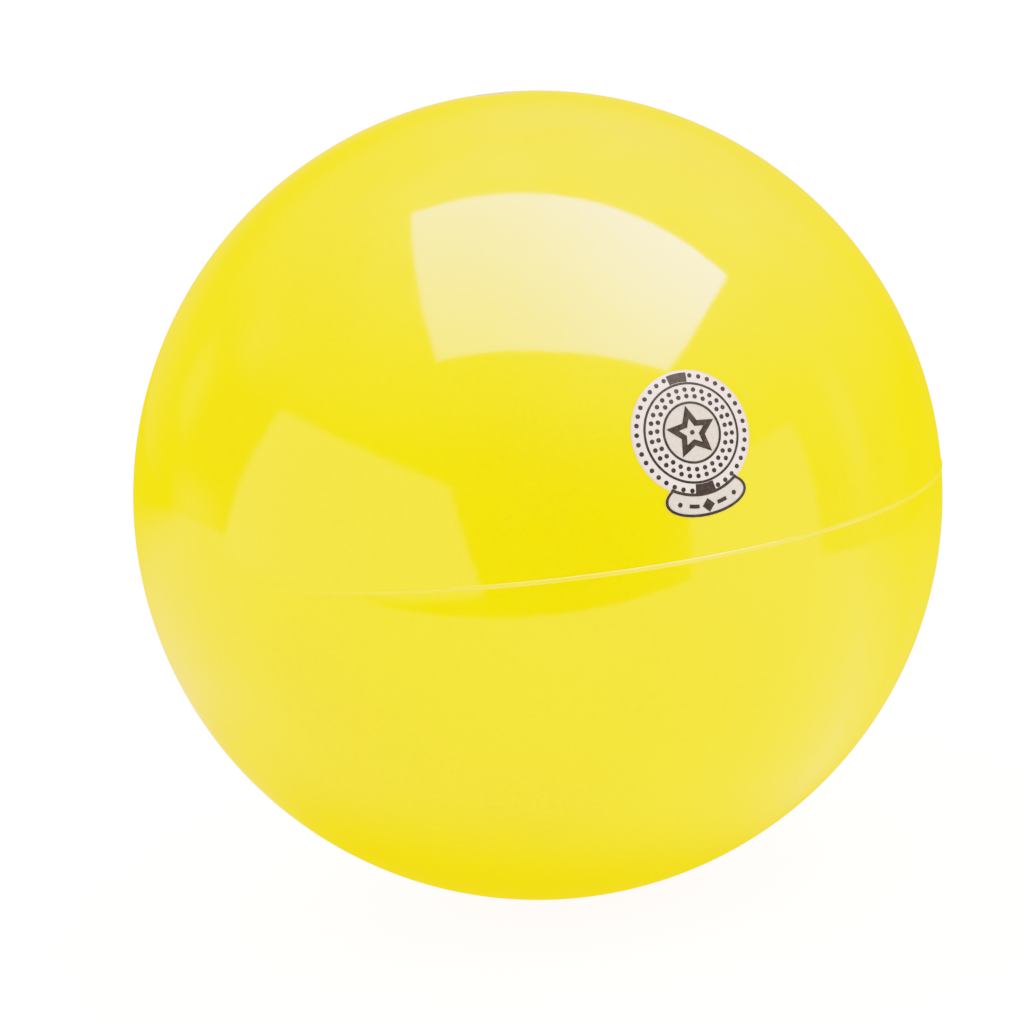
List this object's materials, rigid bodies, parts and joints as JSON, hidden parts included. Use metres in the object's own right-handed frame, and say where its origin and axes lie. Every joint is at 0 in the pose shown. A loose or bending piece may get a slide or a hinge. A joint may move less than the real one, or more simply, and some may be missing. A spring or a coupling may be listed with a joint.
{
  "type": "playground rubber ball",
  "caption": "Hollow glossy rubber ball moulded from half shells with a raised seam, an air-tight liner, a pull-out needle valve plug and a small round printed badge.",
  "frame": {"origin": "centre of the ball, which is also the middle of the moulding seam's circle", "axes": "+Z out of the ball through the needle valve at the upper pole; the seam lies in the XY plane; -Y towards the printed badge; +X to the badge's right seen from outside"},
  "size_m": [0.1906, 0.1906, 0.1899],
  "materials": {
    "cover_rubber": "glossy, smooth moulded skin with a very fine grain",
    "liner_rubber": "matt dark butyl rubber",
    "patch_rubber": "matt dark rubber",
    "valve_rubber": "satin natural rubber",
    "plug_rubber": "satin pale rubber",
    "badge_film": "white transfer film",
    "badge_ink": "dark brown printing ink"
  },
  "bodies": {
    "ball": {"cover_upper": "cover_rubber", "cover_lower": "cover_rubber", "bladder": "liner_rubber", "valve_patch": "patch_rubber", "valve_housing": "valve_rubber", "emblem_base": "badge_film", "emblem_print": "badge_ink"},
    "valve_plug": {"valve_core": "plug_rubber"}
  },
  "joints": [
    {"name": "valve_core_pull", "type": "slide", "parent": "ball", "child": "valve_plug", "axis": [0, 0, 1], "range_m": [0, 0.02]}
  ]
}
